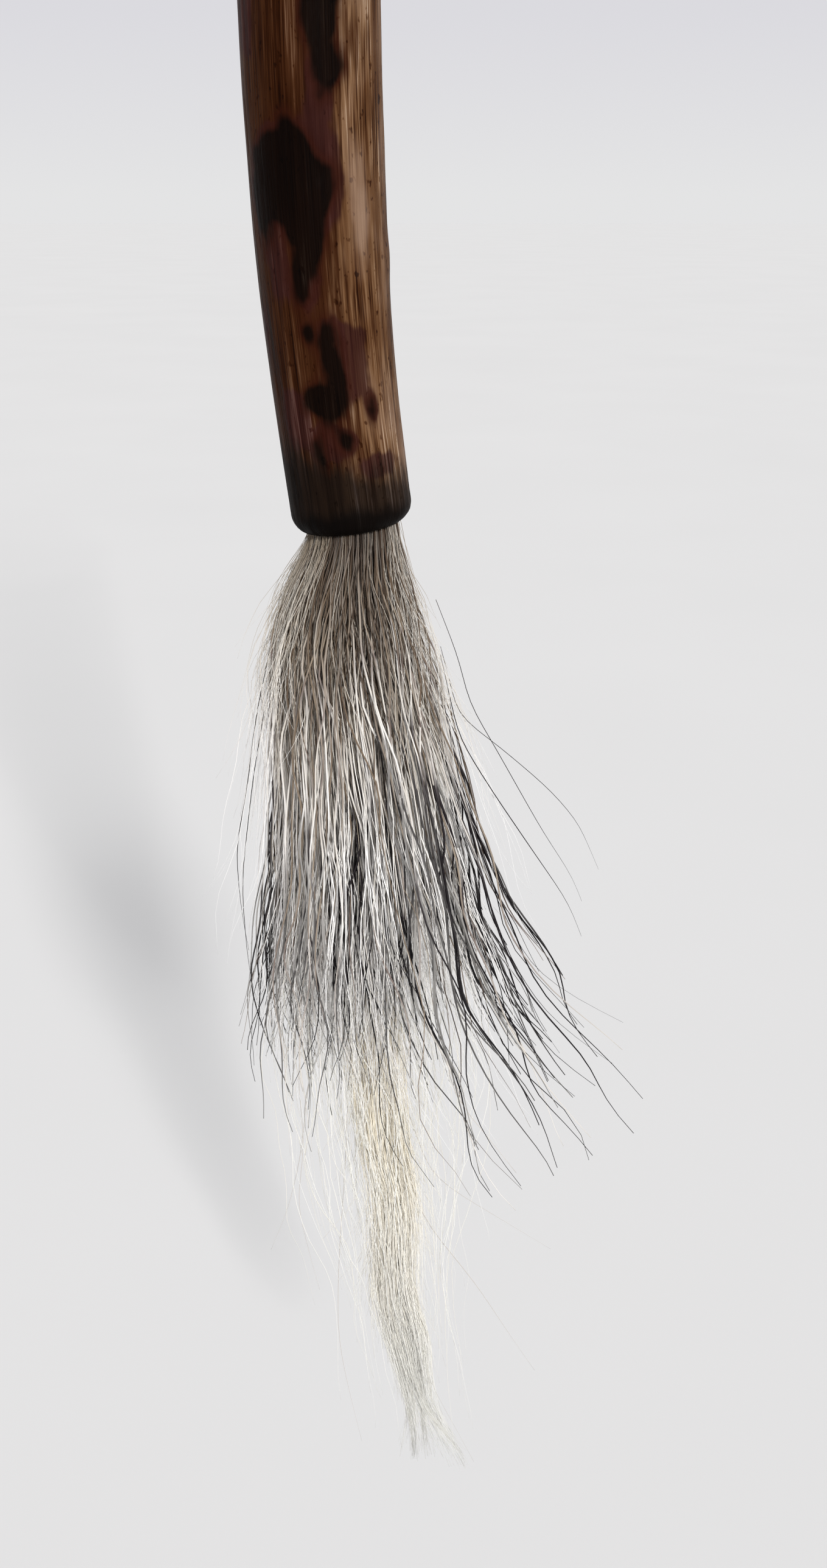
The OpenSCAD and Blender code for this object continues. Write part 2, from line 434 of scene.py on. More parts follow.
# ---------------- handle
# Black blotches: height above the mouth and angle round the culm (0 is +X, -90 faces the viewer),
# then half the length and half the width, in mm. They are a pattern of smoke and sap, not a mark.
BLOTCHES = [
    (34.8, -112, 4, 4.3), (38.4, -107, 2.5, 1.4), (33, -138, 3.6, 1.6), (30.4, -98, 3.4, 1.7),
    (26.8, -106, 3.3, 0.85), (21.3, -106, 0.7, 0.65),
    (50.5, -77, 5.4, 1.6), (45.4, -73, 1.8, 1.2), (57, -68, 5, 1.8), (63, -118, 7, 3),
    (17.6, -84, 2.6, 1.15), (14.6, -99, 1.5, 1.9), (14, -88, 1.4, 1.1), (20.4, -88, 1.2, 0.5),
    (8.9, -106, 1.4, 0.5), (10.4, -84, 0.8, 0.4), (13.3, -54, 0.8, 0.35),
]
# The wine-brown halos round and beside them, in the same terms
HALOS = [
    (34.8, -112, 5.4, 5.2), (34.6, -76, 4.6, 1.2), (27, -128, 2.6, 1.5), (41.5, -82, 3.6, 1.3),
    (17.6, -67, 3.9, 2), (13.4, -56, 1.4, 1), (12.6, -128, 2.6, 2.2), (21, -160, 3, 0.9),
    (24.6, -100, 2.2, 1.4), (10.2, -97, 2.3, 2.6), (50, -155, 4, 2), (21.4, -75, 0.9, 2.2),
    (7.2, -60, 1.2, 3),
]
# Places where the skin is more golden than round about, or less where the last number is negative:
# height, angle, half the length, half the width and how much
PALE_PATCHES = [
    (47, -44, 5, 2.6, -0.6), (38, -34, 7, 3.2, 0.15), (12.5, -8, 4, 2.4, 0.4),
    (27, -18, 5, 2.4, 0.25), (8, -40, 3, 3, -0.3),
]
# Knocks in the skin: height in mm, angle in radians and how far each stands out in mm, then half their
# length in mm and half their turn in radians
KNOCKS = ((27.5, 2 * np.pi - 0.05, 0.16), (31.0, 0.06, -0.14), (24.2, 0.1, -0.1))
KNOCK_LENGTH = 2.0
KNOCK_TURN = 0.25
# The skin at each joint: a ridge, the groove of the sheath scar below it and a shallow dip above it,
# each with its place below the ring, half its width and its height
RING_SHAPES = ((0.0, 1.5, 0.62), (3.0, 0.7, -0.34), (-3.2, 1.2, -0.16))
# Seeds of the noise in the blotches' edges, and how sharply blotches that touch run together
STAIN_SEED = 71
HALO_SEED = 83
MERGE = 2.2
# The lower end of the handle, which the photo shows, is meshed more finely
FINE_LENGTH = 62.0
HANDLE_SIDES = 216


def blotch_field(height, angle, blots, seed):
    """How far inside a blotch a point lies, in mm: blotches that touch run into one another."""
    # Noise moves the points about, so that the blotches are ragged
    warp_p = np.stack([height * 0.13, np.cos(angle) * 1.3, np.sin(angle) * 1.3], -1)
    warp_h = 0.9 * fbm(warp_p, seed, 2)
    warp_a = 0.5 * fbm(warp_p * 1.6 + 9, seed + 5, 2)
    total = np.zeros(height.shape)
    for h, deg, half_h, half_w in blots:
        turn = turn_between(angle, deg)
        reach = np.hypot((height + warp_h - h) / half_h, (turn * CULM_R + warp_a) / half_w)
        inside = (1 - reach) * min(half_h, half_w)
        total += np.exp(MERGE * np.clip(inside, -6, 4))
    return np.log(total + 1e-5) / MERGE


def hidden_side_blotches(rng):
    """Blotches for the back and the upper handle, in the same sizes as those in front."""
    back = ((14, 205), (20, 200), (1.5, 8), (0.8, 4.2))
    upper_front = ((66, 205), (-180, 0), (1.5, 9), (0.8, 4.4))
    groups = [back] * 34 + [upper_front] * 26
    return [tuple(rng.uniform(low, high) for low, high in group) for group in groups]


def outer_radius(u):
    """Radius of the culm's skin at u mm from the tail."""
    r = CULM_R + (MOUTH_R - CULM_R) * smooth(u, BEND_START, CULM_LEN)
    for z in RING_Z:
        for place, wide, high in RING_SHAPES:
            r = r + high * np.exp(-((u - (TAIL - z) - place) / wide) ** 2)
    tail = np.clip(TAIL_ROUND - u, 0, TAIL_ROUND)
    rim = np.clip(u - (CULM_LEN - MOUTH_ROUND), 0, MOUTH_ROUND)
    return (r - TAIL_ROUND + np.sqrt(TAIL_ROUND ** 2 - tail ** 2)
            - MOUTH_ROUND + np.sqrt(MOUTH_ROUND ** 2 - rim ** 2))


def handle_profile():
    """The handle's wall, from the tail over the skin to the mouth, then through the socket and hollow.

    Each station is (mm from the tail, radius, 1 on the skin or 0 inside).
    """
    skin = np.concatenate([
        TAIL_ROUND * (1 - np.cos(np.linspace(0, np.pi / 2, 9)[:-1])),
        np.linspace(TAIL_ROUND, CULM_LEN - FINE_LENGTH, 160),
        np.linspace(CULM_LEN - FINE_LENGTH, CULM_LEN - MOUTH_ROUND, 190)[1:],
        CULM_LEN - MOUTH_ROUND + MOUTH_ROUND * np.sin(np.linspace(0, np.pi / 2, 11)[1:]),
    ])
    flat = CULM_R - TAIL_ROUND
    cap = [(-0.3 * (1 - (r / flat) ** 2), r, 1.0) for r in (0.0, 1.0, 2.0, 3.0)]
    outside = [(u, r, 1.0) for u, r in zip(skin, outer_radius(skin))]
    top = TAIL - RING_Z[1] + DIAPHRAGM_HALF
    socket = [(CULM_LEN - d, SOCKET_R, 0.0) for d in (0.25, 1.5, 4, 8, 12, 16, 20, SOCKET_DEPTH - 0.4)]
    shoulder = [(CULM_LEN - SOCKET_DEPTH, r, 0.0) for r in (SOCKET_R - 0.3, HOLLOW_R + 0.3)]
    hollow = [(u, HOLLOW_R, 0.0) for u in np.linspace(CULM_LEN - SOCKET_DEPTH - 0.5, top + 0.5, 24)]
    end = [(top, r, 0.0) for r in (HOLLOW_R - 0.4, 1.6, 0.0)]
    return np.array(cap + outside + socket + shoulder + hollow + end)


def on_culm(u, turn, around, lengthwise):
    """Points for noise on the culm, with so many features per radius around and per mm lengthwise."""
    return np.stack([around * np.cos(turn), around * np.sin(turn), lengthwise * u], -1)


def skin_relief(u, turn):
    """How far the skin stands out from an even culm, in mm."""
    height = CULM_LEN - u
    swell = 0.11 * fbm(on_culm(u, turn, 1.1, 0.045), 3)
    oval = 0.06 * np.cos(2 * (turn - 0.5))
    ridges = 0.035 * fbm(on_culm(u, turn, 9, 0.08), 11, 2)
    pits = -0.05 * smooth(value_noise(on_culm(u, turn, 14, 0.35), 21), 0.45, 0.9)
    knocks = sum(high * np.exp(-((height - h) / KNOCK_LENGTH) ** 2 - ((turn - a) / KNOCK_TURN) ** 2)
                 for h, a, high in KNOCKS)
    crumble = 0.05 * smooth(6 - height, 0, 6) * fbm(on_culm(u, turn, 7, 0.9), 31)
    return swell + oval + ridges + pits + knocks + crumble


def colour_culm(ob, height, turn, skin):
    """The fields that the bamboo material reads, from each point's height above the mouth and its angle."""
    back = hidden_side_blotches(np.random.default_rng(41))
    wider = [(h, a, half_h * 1.25, half_w * 1.5) for h, a, half_h, half_w in back]
    stain = blotch_field(height, turn, BLOTCHES + back, STAIN_SEED)
    halo = blotch_field(height, turn, HALOS + wider, HALO_SEED)
    drift = fbm(np.stack([height * 0.03, np.cos(turn) * 1.4, np.sin(turn) * 1.4], -1), 91)
    gold = 0.28 + 0.62 * np.cos(turn + 0.1) + 0.35 * drift
    for h, deg, half_h, half_w, amount in PALE_PATCHES:
        away = turn_between(turn, deg) * CULM_R
        gold = gold + amount * np.exp(-((height - h) / half_h) ** 2 - (away / half_w) ** 2)
    char = (8.4 - 2.2 * np.cos(turn) - height) * 0.32
    inside = 1 - skin
    # The grain inside the bore is read far from the skin's, so that the two don't match
    grain = np.stack([CULM_R * np.cos(turn), CULM_R * np.sin(turn), height + 300 * inside], -1)
    add_field(ob, "culm", grain)
    add_field(ob, "stain", stain - 6 * inside)
    add_field(ob, "maroon", halo - 6 * inside)
    add_field(ob, "gold", gold + inside)
    add_field(ob, "char", char * (1 - inside) + 0.4 * inside)
    add_field(ob, "soot", 0.2 + 0.9 * smooth(4.6 - height, 0, 4.6) * (0.6 - 0.5 * np.sin(turn)))


def make_handle():
    """The bent culm with its grain, rings, blotches and charred mouth."""
    profile = handle_profile()
    rows, sides = len(profile), HANDLE_SIDES
    u, r, skin = (np.repeat(profile[:, i:i + 1], sides, 1) for i in range(3))
    turn = np.repeat(np.linspace(0, 2 * np.pi, sides, endpoint=False)[None], rows, 0)
    r = r + skin * np.minimum(1, r / 2.5) * skin_relief(u, turn)

    x, z, lean = along_culm(u)
    verts = np.stack([x + r * np.cos(turn) * np.cos(lean), r * np.sin(turn),
                      z + r * np.cos(turn) * np.sin(lean)], -1)
    faces = tube_faces(rows, sides)[2]
    steps = np.hypot(np.diff(profile[:, 0]), np.diff(profile[:, 1]))
    length = np.concatenate([[0], np.cumsum(steps)])
    across = np.arange(sides + 1) / sides * 0.98 + 0.01
    down = length / length[-1] * 0.98 + 0.01
    ob = build_mesh("bamboo_culm", verts.reshape(-1, 3), faces, tube_uv(across, down))
    colour_culm(ob, (CULM_LEN - u).ravel(), turn.ravel(), skin.ravel())
    ob.data.materials.append(bamboo_material())
    drill_hole(ob)
    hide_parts("bamboo_handle")
    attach(ob, "handle")


def drill_hole(culm):
    """Cuts the hanging hole, flared where the drill went in and out."""
    sides = 40
    reach, flare, lip = CULM_R + 1.2, 2.9, 1.75
    entry = [(reach, flare), (CULM_R - 0.15, lip), (CULM_R - 0.8, HANG_HOLE_R)]
    stations = [(-y, r) for y, r in entry] + entry[::-1]
    turn = np.linspace(0, 2 * np.pi, sides, endpoint=False)
    verts = np.array([(r * math.cos(a), y, r * math.sin(a)) for y, r in stations for a in turn])
    ids, beside, faces = tube_faces(len(stations), sides)
    first, last = len(verts), len(verts) + 1
    verts = np.concatenate([verts, [(0, -reach, 0), (0, reach, 0)]])
    fan = [np.stack([ids[0], beside[0], np.full(sides, first), np.full(sides, first)], -1),
           np.stack([beside[-1], ids[-1], np.full(sides, last), np.full(sides, last)], -1)]
    faces = np.concatenate([faces, *fan])
    drill = build_mesh("drill", verts, faces, np.full((len(faces), 4, 2), 0.005))
    add_field(drill, "culm", verts)
    for name, value in (("stain", -6.0), ("maroon", 0.2), ("gold", 0.2), ("char", 0.75), ("soot", 0.5)):
        add_field(drill, name, np.full(len(verts), value))
    cut = culm.modifiers.new("hang_hole", "BOOLEAN")
    cut.operation = "DIFFERENCE"
    cut.solver = "EXACT"
    cut.object = drill
    bpy.context.view_layer.update()
    shape = bpy.data.meshes.new_from_object(culm.evaluated_get(bpy.context.evaluated_depsgraph_get()))
    culm.modifiers.clear()
    culm.data = shape
    bpy.data.objects.remove(drill)


# ---------------- hair
# A direction that no hair follows, and how much of the UV's height one hair takes
ACROSS_HAIR = np.array([0.35, 1.0, 0.1])
UV_WIDTH = 0.004


def strand_mesh(name, paths, radii, along, tone, sides=3):
    """Thin closed tubes along paths (n, k, 3).

    The UV holds along (n, k), the place in the hair's colours, and tone (n,), the hair's own lightness.
    """
    n, k = paths.shape[:2]
    heading = np.gradient(paths, axis=1)
    heading /= np.linalg.norm(heading, axis=-1, keepdims=True)
    side = np.cross(heading, ACROSS_HAIR)
    side /= np.linalg.norm(side, axis=-1, keepdims=True)
    up = np.cross(heading, side)
    spin = np.arange(sides) * 2 * np.pi / sides
    ring = side[:, :, None] * np.cos(spin)[:, None] + up[:, :, None] * np.sin(spin)[:, None]
    verts = paths[:, :, None] + ring * radii[:, :, None, None]
    ids = np.arange(n * k * sides).reshape(n, k, sides)
    nxt = np.roll(ids, -1, 2)
    walls = np.stack([ids[:, :-1], nxt[:, :-1], nxt[:, 1:], ids[:, 1:]], -1).reshape(-1, 4)
    root = np.stack([ids[:, 0, 2], ids[:, 0, 1], ids[:, 0, 0], ids[:, 0, 0]], -1)
    tip = np.stack([ids[:, -1, 0], ids[:, -1, 1], ids[:, -1, 2], ids[:, -1, 2]], -1)
    a = np.clip(along, 0.003, 0.997)
    t = np.clip(tone, 0.01, 0.99)[:, None, None] + UV_WIDTH * (np.arange(sides + 1) / sides - 0.5)
    t = np.repeat(t, k, 1)
    uv_u = np.repeat(np.stack([a[:, :-1], a[:, :-1], a[:, 1:], a[:, 1:]], -1)[:, :, None], sides, 2)
    uv_v = np.stack([t[:, :-1, :-1], t[:, :-1, 1:], t[:, 1:, 1:], t[:, 1:, :-1]], -1)
    uv_walls = np.stack([uv_u, uv_v], -1).reshape(-1, 4, 2)
    mid = np.repeat(t[:, 0, 1][:, None], 4, 1)
    uv_root = np.stack([np.repeat(a[:, :1], 4, 1), mid], -1)
    uv_tip = np.stack([np.repeat(a[:, -1:], 4, 1), mid], -1)
    faces = np.concatenate([walls, root, tip])
    uv = np.concatenate([uv_walls, uv_root, uv_tip])
    return build_mesh(name, verts.reshape(-1, 3), faces, uv)


# Depths below the mouth, and the radius of the coat's envelope and of the central hair at each
COAT = ((-6, 0, 2, 4, 8, 15, 20, 27, 38, 46, 56, 66, 90),
        (4.0, 4.2, 4.6, 5.2, 6.3, 7.9, 8.6, 9.5, 10.8, 11.7, 12.9, 13.9, 14.6))
CORE = ((-6, 0, 10, 30, 60, 72, 84, 98, 115, 140),
        (2.9, 3.0, 3.6, 4.0, 2.9, 2.1, 1.6, 1.2, 0.95, 0.9))

# Wavelengths of a hair's wander in mm, the share of each, and those of its wander within a lock
WAVES = (52.0, 27.0, 12.0)
WAVE_SHARES = (1.0, 0.75, 0.22)
LOOSE_WAVES = (33.0, 19.0)

# Depth at which a hair's sweep to the side is full, and the length at its end that hooks, in mm
SWEEP_DEPTH = 70.0
HOOK_LENGTH = 17.0
# Depths over which small locks gather
GATHER = (1, 34)


def axis_x(s):
    """How far the tuft's middle has drifted towards +X at s mm below the mouth."""
    return 9.5 * np.clip(s / 138, 0, None) ** 2.2


def rounded(s, table):
    """The radii of a table at depths s, with soft corners."""
    return sum(np.interp(s + d, *table) for d in (-2, -1, 0, 1, 2)) / 5


class Hairs:
    """The numbers that give each hair of a layer its own path.

    Turn is its angle round the tuft, shell its share of the envelope's radius and tips the depth of its
    tip. Sweep carries it towards +X and hook turns its end. Wander and slope spread the hairs at random.
    """

    def __init__(self, rng, turn, shell, tips, sweep, hook, wander, slope,
                 table=COAT, start=-2.0, shift=-0.7):
        n = len(turn)
        self.table, self.start, self.shift = table, start, shift
        self.turn, self.shell = turn[:, None], shell[:, None]
        self.tips = tips[:, None]
        self.sweep, self.hook = sweep[:, None], hook[:, None]
        self.slope = rng.normal(0, slope, (2, n, 1))
        self.phase = rng.uniform(0, 2 * np.pi, (3, 2, n, 1))
        self.size = rng.normal(0, wander, (3, 2, n, 1))

    def depths(self, points):
        """Depths below the mouth at which each hair has its points."""
        u = np.linspace(0, 1, points)[None] ** 0.9
        return self.start + (self.tips - self.start) * u

    def places(self, s, who=slice(None)):
        """X and Y of the hairs numbered who at depths s."""
        turn, slope = self.turn[who], self.slope[:, who]
        r = rounded(s, self.table) * self.shell[who]
        t = np.clip(s / SWEEP_DEPTH, 0, 1.25)
        right = (0.5 + 0.5 * np.cos(turn)) ** 1.5
        lean = self.shift * smooth(s, 0, 7) * (1 - 1.8 * smooth(s, 12, 34) + 0.8 * smooth(s, 40, 62))
        end = np.clip((s - self.tips[who] + HOOK_LENGTH) / HOOK_LENGTH, 0, 1) ** 2
        x = r * np.cos(turn) + axis_x(s) + lean + self.sweep[who] * t ** 3 * right + self.hook[who] * end
        y = r * np.sin(turn) + 0.3 * self.hook[who] * np.sin(turn) * end
        grow = np.clip(s / 9, 0, 1) * (0.75 + s / 150)
        x = x + slope[0] * np.clip(s - 4, 0, None)
        y = y + slope[1] * np.clip(s - 4, 0, None)
        for wave, share, phase, size in zip(WAVES, WAVE_SHARES, self.phase, self.size):
            amount = share * grow
            x = x + amount * size[0][who] * np.sin(2 * np.pi * s / wave + phase[0][who])
            y = y + amount * size[1][who] * np.sin(2 * np.pi * s / wave + phase[1][who])
        return np.stack([x, y], -1)

    def nearest(self, rng, count, depth, blur, fixed=0):
        """The number of the leader whose lock each hair joins: the one nearest to it at a depth.

        Count leaders are drawn at random, and blur, in mm, sends some hairs to another lock. If fixed is
        given, that many first hairs lead too, and no others lead on the side towards +X.
        """
        n = len(self.turn)
        at = self.places(np.full((n, 1), depth))[:, 0]
        chosen = fixed + rng.choice(n - fixed, count, replace=False)
        if fixed:
            chosen = chosen[right_share(self.turn[chosen, 0]) < 0.5]
        leaders = np.concatenate([np.arange(fixed), chosen])
        away = np.linalg.norm(at[:, None] + rng.normal(0, blur, (n, 1, 2)) - at[leaders][None], axis=-1)
        return leaders[np.argmin(away, 1)]

    def paths(self, s, locks=(), loose=0.0):
        """Full paths. A lock is (leaders, pull, from, to): pull is each hair's share of the way in.

        Loose is how far, in mm, a hair still wanders on its own within its lock.
        """
        xy = self.places(s)
        for leaders, pull, low, high in locks:
            middle = self.places(s, leaders)
            xy = xy + (middle - xy) * pull[:, None, None] * smooth(s, low, high)[..., None]
        for wave, phase, size in zip(LOOSE_WAVES, self.phase[::-1], self.size[::-1]):
            swing = np.sin(2 * np.pi * s / wave + phase) * np.sign(size)
            xy = xy + loose * np.moveaxis(swing, 0, -1) * np.clip(s / 16, 0, 1)[..., None]
        return np.concatenate([xy + (MOUTH[0], 0), (MOUTH[2] - s)[..., None]], -1)


def taper(points, thick, blunt=0.3, fine_from=0.5):
    """Radius along a hair: a little thinner at its root, and the share called blunt at its tip."""
    u = np.linspace(0, 1, points)[None]
    body = 0.8 + (1 - 0.8) * smooth(u, 0, 0.3)
    return thick[:, None] * body * (1 - (1 - blunt) * smooth(u, fine_from, 1.0) ** 1.5)


def bend_at_root(ob):
    """Hair that leaves the mouth: its placement is baked into its mesh."""
    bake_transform(ob)


def bend_at_tip(ob):
    """Hair that runs on into the tip: its placement is baked into its mesh."""
    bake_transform(ob)


def band(s, dark, tips):
    """Place along a hair's colours: grey, a dark band, a pale band, then black from the depth called dark."""
    marks = (0.0, 0.12, 0.22, 0.3, 0.38, 0.48, 0.6, 1.0)
    places = [0 * dark, 0.2 * dark, 0.42 * dark, 0.52 * dark, 0.66 * dark, 0.92 * dark, dark + 3,
              np.maximum(tips, dark + 8)]
    out = np.zeros_like(s)
    for i in range(len(marks) - 1):
        a, b = places[i][:, None], places[i + 1][:, None]
        out = np.where(s >= a, marks[i] + (marks[i + 1] - marks[i]) * np.clip((s - a) / (b - a), 0, 1), out)
    return out


def right_share(turn):
    """1 on the side of the coat towards +X, 0 on the other."""
    return smooth(np.cos(turn), -0.35, 0.65)


# Bundles of the coat that sweep out towards +X: angle, share of the radius, tip depth, sweep and hook
BUNDLES = [
    (-8, 0.98, 70, 11.5, 5.5), (20, 0.92, 76, 9.5, 3), (-44, 0.9, 78, 9.5, 3),
    (-68, 0.86, 79, 9.5, 3), (60, 0.88, 74, 9, 3), (-52, 0.35, 68, 8, 2),
    (-28, 0.96, 73, 11, 4.5), (-88, 0.94, 77, 8, 1), (5, 0.62, 66, 9.5, 3),
    (-16, 1.14, 62, 12.5, 6.5), (2, 1.1, 56, 13, 4), (-58, 1.04, 74, 12, 4),
]
# The angle, in radians, of the slot where the coat parts: the hairs there are darkened as painted shade of
# that slot
SHADED_PARTING_ANGLE = -1.1


def finish_layer(ob, material, bend):
    """Material and slot for a piece made of hairs, and its placement baked in by bend."""
    ob.data.materials.append(material)
    bend(ob)
    return ob


def lead_hairs(table, turn, *columns):
    """Gives the first hairs of a layer the places in a table, whose angles are in degrees."""
    made = len(table)
    turn[:made], *leading = np.array(table).T
    turn[:made] = np.radians(turn[:made])
    for column, values in zip(columns, leading):
        column[:made] = values
    return made


def guard_layer(name, rng, material, count, shell, tips, points, thick, dark, locks, few,
                short=0.0, dim=0.0, wander=0.74, slope=0.052, loose=0.36):
    """Guard hair in small locks, with fewer and blacker locks on the side towards +X.

    Shell, tips, thick and dark are the ranges of the hairs' share of the radius, tip depth, radius and
    depth at which they turn black. Locks are the numbers of small and of large locks. Few, short and dim
    say how much thinner, shorter and darker the layer is on the side towards +X; dim also sets how much
    painted shade darkens the hairs at the parting.
    """
    turn = rng.uniform(-np.pi, np.pi, count * 6)
    keep = rng.uniform(0, 1, len(turn)) > few * right_share(turn)
    turn = turn[keep][:count]
    n = len(turn)
    side = right_share(turn)
    reach = (tips[1] - tips[0]) * rng.beta(1.8, 1.9, n)
    # The hem rises towards +X, except that of the short hairs
    lifted = 9 * smooth(np.cos(turn), 0.5, 1) * (tips[0] > 20)
    tip = tips[0] + reach * (0.82 + 0.18 * side - short * side) - lifted
    sweep = np.clip(rng.normal(10, 2.5, n), 4, 14) * tip / 75
    hook = np.clip(rng.normal(0.0, 2.4, n), -5, 5) * smooth(tip, 10, 50) + 2.5 * side * smooth(tip, 45, 80)
    own = rng.uniform(*shell, n)
    made = lead_hairs(BUNDLES, turn, own, tip, sweep, hook)
    hairs = Hairs(rng, turn, own, tip, sweep, hook, wander, slope)
    s = hairs.depths(points)

    leader = hairs.nearest(rng, locks[0], 30, 0.7)
    small = (leader, (0.75 + 0.2 * side) * rng.uniform(0.35, 1, n) ** (1 - 0.6 * side), *GATHER)
    large = (hairs.nearest(rng, locks[1], 50, 1.2, made), 0.05 + 0.85 * side * rng.uniform(0.4, 1, n), 10, 58)
    paths = hairs.paths(s, (small, large), loose)

    band_at = rng.beta(1.3, 1.3, n)
    band_at = 0.5 * band_at + 0.5 * band_at[leader]
    starts = dark[0] + (dark[1] - dark[0]) * band_at + 3 - 10 * side
    # Some hairs on the side away from +X stay pale for longer
    pale_hairs = rng.uniform(0, 1, n) < 0.3 * (1 - side)
    starts = np.maximum(starts + 60 * pale_hairs, 12)
    tone = rng.beta(0.9, 0.9, n)
    # Painted shade: hairs near the parting are darkened, standing in for the shadow in the slot between locks
    parting_shade = np.exp(-((turn - SHADED_PARTING_ANGLE) / 0.25) ** 2)
    tone = 0.5 * tone + 0.5 * tone[leader] - dim * (side + 0.8 * parting_shade)
    radii = taper(points, rng.uniform(*thick, n), 0.35, 0.64)
    radii = radii * (1 + 0.35 * side[:, None] * smooth(s, 20, 36))
    ob = strand_mesh(name, paths, radii, band(s, starts, tip), tone)
    return finish_layer(ob, material, bend_at_root)


def wool_layer(name, rng, material, turn, shell, tips, points, thick, wander, slope, locks, pull, pale=0.0):
    """Soft pale hair without the guard hair's bands, lightened towards +X by painted light: pale is how far
    it starts along its run of colours.
    """
    n = len(turn)
    hairs = Hairs(rng, turn, shell, tips, rng.normal(8, 3, n), rng.normal(0, 1.5, n), wander, slope)
    s = hairs.depths(points)
    leader = hairs.nearest(rng, locks, 30, 0.7)
    radii = taper(points, rng.uniform(*thick, n))
    tone = rng.beta(1.2, 1.2, n)
    # Painted light: the wool towards +X, where the light falls, is made lighter in tone
    tone = 0.5 * tone + 0.5 * tone[leader] + 0.25 * right_share(turn)
    paths = hairs.paths(s, ((leader, pull * rng.uniform(0.35, 1, n), *GATHER),), 0.3)
    grey = 60 + 42 * right_share(turn)[:, None] * (1 - smooth(s, 20, 32))
    ob = strand_mesh(name, paths, radii, np.clip(pale + s / grey, 0, 1), tone)
    return finish_layer(ob, material, bend_at_root)


def guard_material():
    """Guard hair: darkest at the very root, partly its own colour and partly painted shade under the handle's
    mouth, then grey-brown, a darker band, a pale band and a black tip.
    """
    # The first, darkest stop is partly the hair's own colour and partly painted shade of the handle's mouth
    stops = [(0.0, (0.05, 0.031, 0.02)), (0.12, (0.135, 0.094, 0.062)), (0.22, (0.27, 0.215, 0.16)),
             (0.3, (0.185, 0.142, 0.126)), (0.38, (0.66, 0.615, 0.555)), (0.48, (0.74, 0.71, 0.675)),
             (0.55, (0.08, 0.068, 0.07)), (0.62, (0.014, 0.01, 0.012)), (1.0, (0.004, 0.003, 0.005))]
    return hair_material("guard_hair", stops, (0.4, 0.39, 0.37), (0.15, 0.115, 0.1))


def wool_material():
    """Under hair: grey-brown at the root, darkest at the very root partly as painted shade under the handle's
    mouth, and white from its middle on.
    """
    # The first, darkest stop is partly the hair's own colour and partly painted shade of the handle's mouth
    stops = [(0.0, (0.05, 0.031, 0.02)), (0.1, (0.13, 0.09, 0.06)), (0.22, (0.3, 0.245, 0.185)),
             (0.4, (0.7, 0.65, 0.575)), (0.62, (0.93, 0.905, 0.88)), (1.0, (0.96, 0.95, 0.94))]
    return hair_material("under_hair", stops, (0.5, 0.5, 0.48), (0.74, 0.69, 0.64), roughness=0.5)


def cream_material():
    """The central hair: cream, and greyer towards its tip."""
    stops = [(0.0, (0.34, 0.29, 0.22)), (0.3, (0.7, 0.62, 0.48)), (0.52, (0.94, 0.87, 0.72)),
             (0.7, (0.93, 0.89, 0.8)), (0.85, (0.84, 0.83, 0.78)), (1.0, (0.79, 0.79, 0.76))]
    return hair_material("core_hair", stops, (0.5, 0.5, 0.47), (0.93, 0.91, 0.87), roughness=0.6, shine=0.1)


def make_guard_hair(rng, material):
    """Three layers of grey guard hair with black tips."""
    long = guard_layer("guard_hair_long", rng, material, count=190, shell=(0.84, 1.04), tips=(54, 80),
                       points=34, thick=(0.09, 0.136), dark=(16, 46), locks=(54, 18), few=0.46)
    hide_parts("guard_coat")
    guard_layer("guard_hair_mid", rng, material, count=230, shell=(0.5, 1.03), tips=(46, 77),
                points=30, thick=(0.066, 0.114), dark=(16, 48), locks=(70, 30), few=0.9)
    guard_layer("guard_hair_short", rng, material, count=1500, shell=(0.4, 0.97), tips=(8, 40),
                points=19, thick=(0.042, 0.07), dark=(31, 78), locks=(240, 60), few=0.4,
                short=0.6, dim=0.6, wander=0.9, slope=0.062, loose=0.4)


def make_under_hair(rng, material):
    """The wool inside the coat, a halo of fine hair round it and a veil of pale hair at its hem."""
    n = 2600
    turn = rng.uniform(-np.pi, np.pi, n)
    tips = 12 + (54 - 6 * right_share(turn)) * rng.beta(2.2, 1.0, n)
    wool = wool_layer("under_hair_wool", rng, material, turn, rng.uniform(0.25, 0.97, n), tips,
                      points=13, thick=(0.04, 0.075), wander=0.6, slope=0.04, locks=150, pull=0.75)
    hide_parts("under_coat")
    n = 800
    turn = np.where(rng.uniform(0, 1, n) < 0.7, rng.normal(np.pi, 0.55, n), rng.normal(0, 0.5, n))
    shell = rng.uniform(0.9, 1.14, n)
    wool_layer("under_hair_halo", rng, material, turn, shell, 6 + 46 * rng.beta(1.2, 1.8, n),
               points=18, thick=(0.018, 0.034), wander=0.9, slope=0.09, locks=200, pull=0.15, pale=0.2)
    n = 760
    turn = rng.normal(-2.3, 1.0, n)
    wool_layer("under_hair_veil", rng, material, turn, rng.uniform(0.1, 0.88, n), rng.uniform(52, 76, n),
               points=24, thick=(0.032, 0.052), wander=0.7, slope=0.035, locks=60, pull=0.6, pale=-0.3)


def make_coat():
    """Grey guard hair with black tips, the pale wool inside it and the few hairs that stand clear."""
    rng = np.random.default_rng(7)
    guard = guard_material()
    wool = wool_material()
    make_guard_hair(rng, guard)
    make_under_hair(rng, wool)
    loose_hairs("guard_hair_strays", STRAYS, (0.56, 0.95), 0.4, guard, bend_at_root)
    loose_hairs("core_hair_strays", TIP_STRAYS, (0.4, 0.44), 0.34, guard, bend_at_tip)


